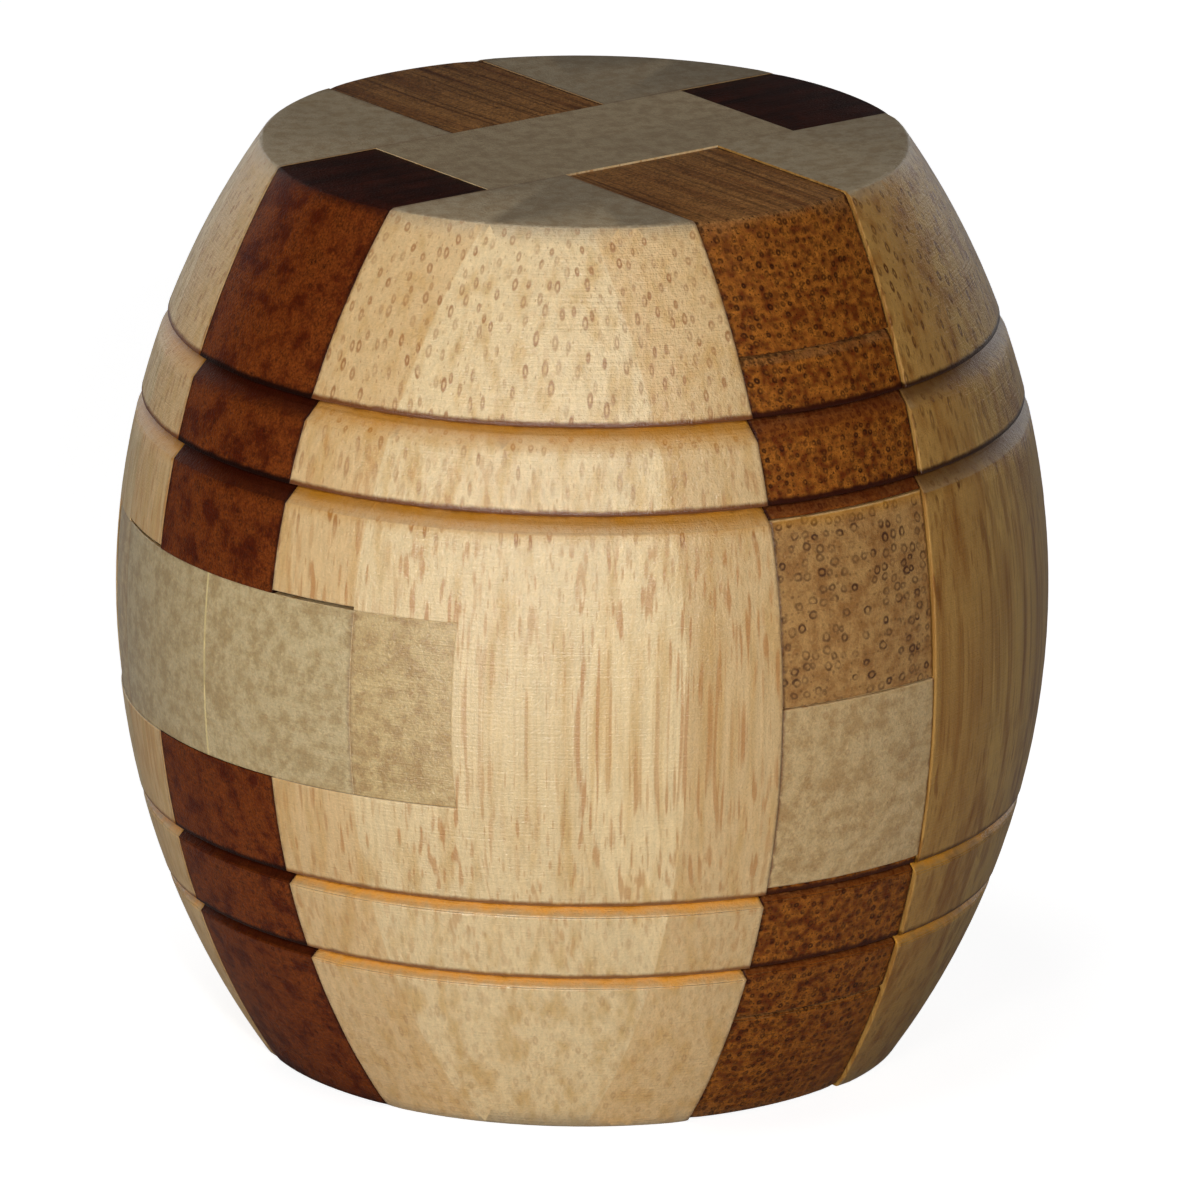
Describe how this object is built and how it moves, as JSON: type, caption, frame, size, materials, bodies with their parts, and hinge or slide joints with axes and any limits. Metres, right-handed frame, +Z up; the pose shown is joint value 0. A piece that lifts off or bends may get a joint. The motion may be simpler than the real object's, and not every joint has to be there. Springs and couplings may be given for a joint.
{
  "type": "wooden burr puzzle",
  "caption": "Barrel-shaped interlocking puzzle of laminated bamboo sticks with turned grooves; a plain stick through its side slides out as the key.",
  "frame": {"origin": "centre of the lower end face, on the plane the barrel stands on", "axes": "+Z up along the barrel's own axis, Y along the key and the cross bar, X along the two band bars; the front is -Y"},
  "size_m": [0.0592, 0.0592, 0.059],
  "materials": {
    "stave_bamboo": "satin lacquered light bamboo, grain upright",
    "post_bamboo": "satin lacquered light bamboo, end grain on the end faces",
    "bar_bamboo": "satin lacquered bamboo, end grain at the barrel's surface",
    "key_bamboo": "satin lacquered tan bamboo, end grain at the barrel's surface",
    "brown_bamboo": "satin lacquered carbonised bamboo",
    "dark_bamboo": "satin lacquered dark carbonised bamboo"
  },
  "bodies": {
    "barrel": {"cross_bar": "bar_bamboo", "core_post_left": "post_bamboo", "core_post_right": "post_bamboo", "band_bar_front": "bar_bamboo", "band_bar_rear": "bar_bamboo", "stave_front_left": "stave_bamboo", "stave_front_right": "stave_bamboo", "stave_rear_left": "stave_bamboo", "stave_rear_right": "stave_bamboo", "cheek_front_left": "bar_bamboo", "cheek_front_right": "bar_bamboo", "cheek_rear_left": "bar_bamboo", "cheek_rear_right": "bar_bamboo", "side_block_left_top": "dark_bamboo", "side_block_left_bottom": "dark_bamboo", "side_block_right_top": "dark_bamboo", "side_block_right_bottom": "dark_bamboo", "end_block_front_top": "brown_bamboo", "end_block_front_bottom": "brown_bamboo", "end_block_rear_top": "brown_bamboo", "end_block_rear_bottom": "brown_bamboo"},
    "key": {"key_bar": "key_bamboo"}
  },
  "joints": [
    {"name": "key_slide", "type": "slide", "parent": "barrel", "child": "key", "axis": [0, -1, 0], "range_m": [-0.06, 0.06]}
  ]
}
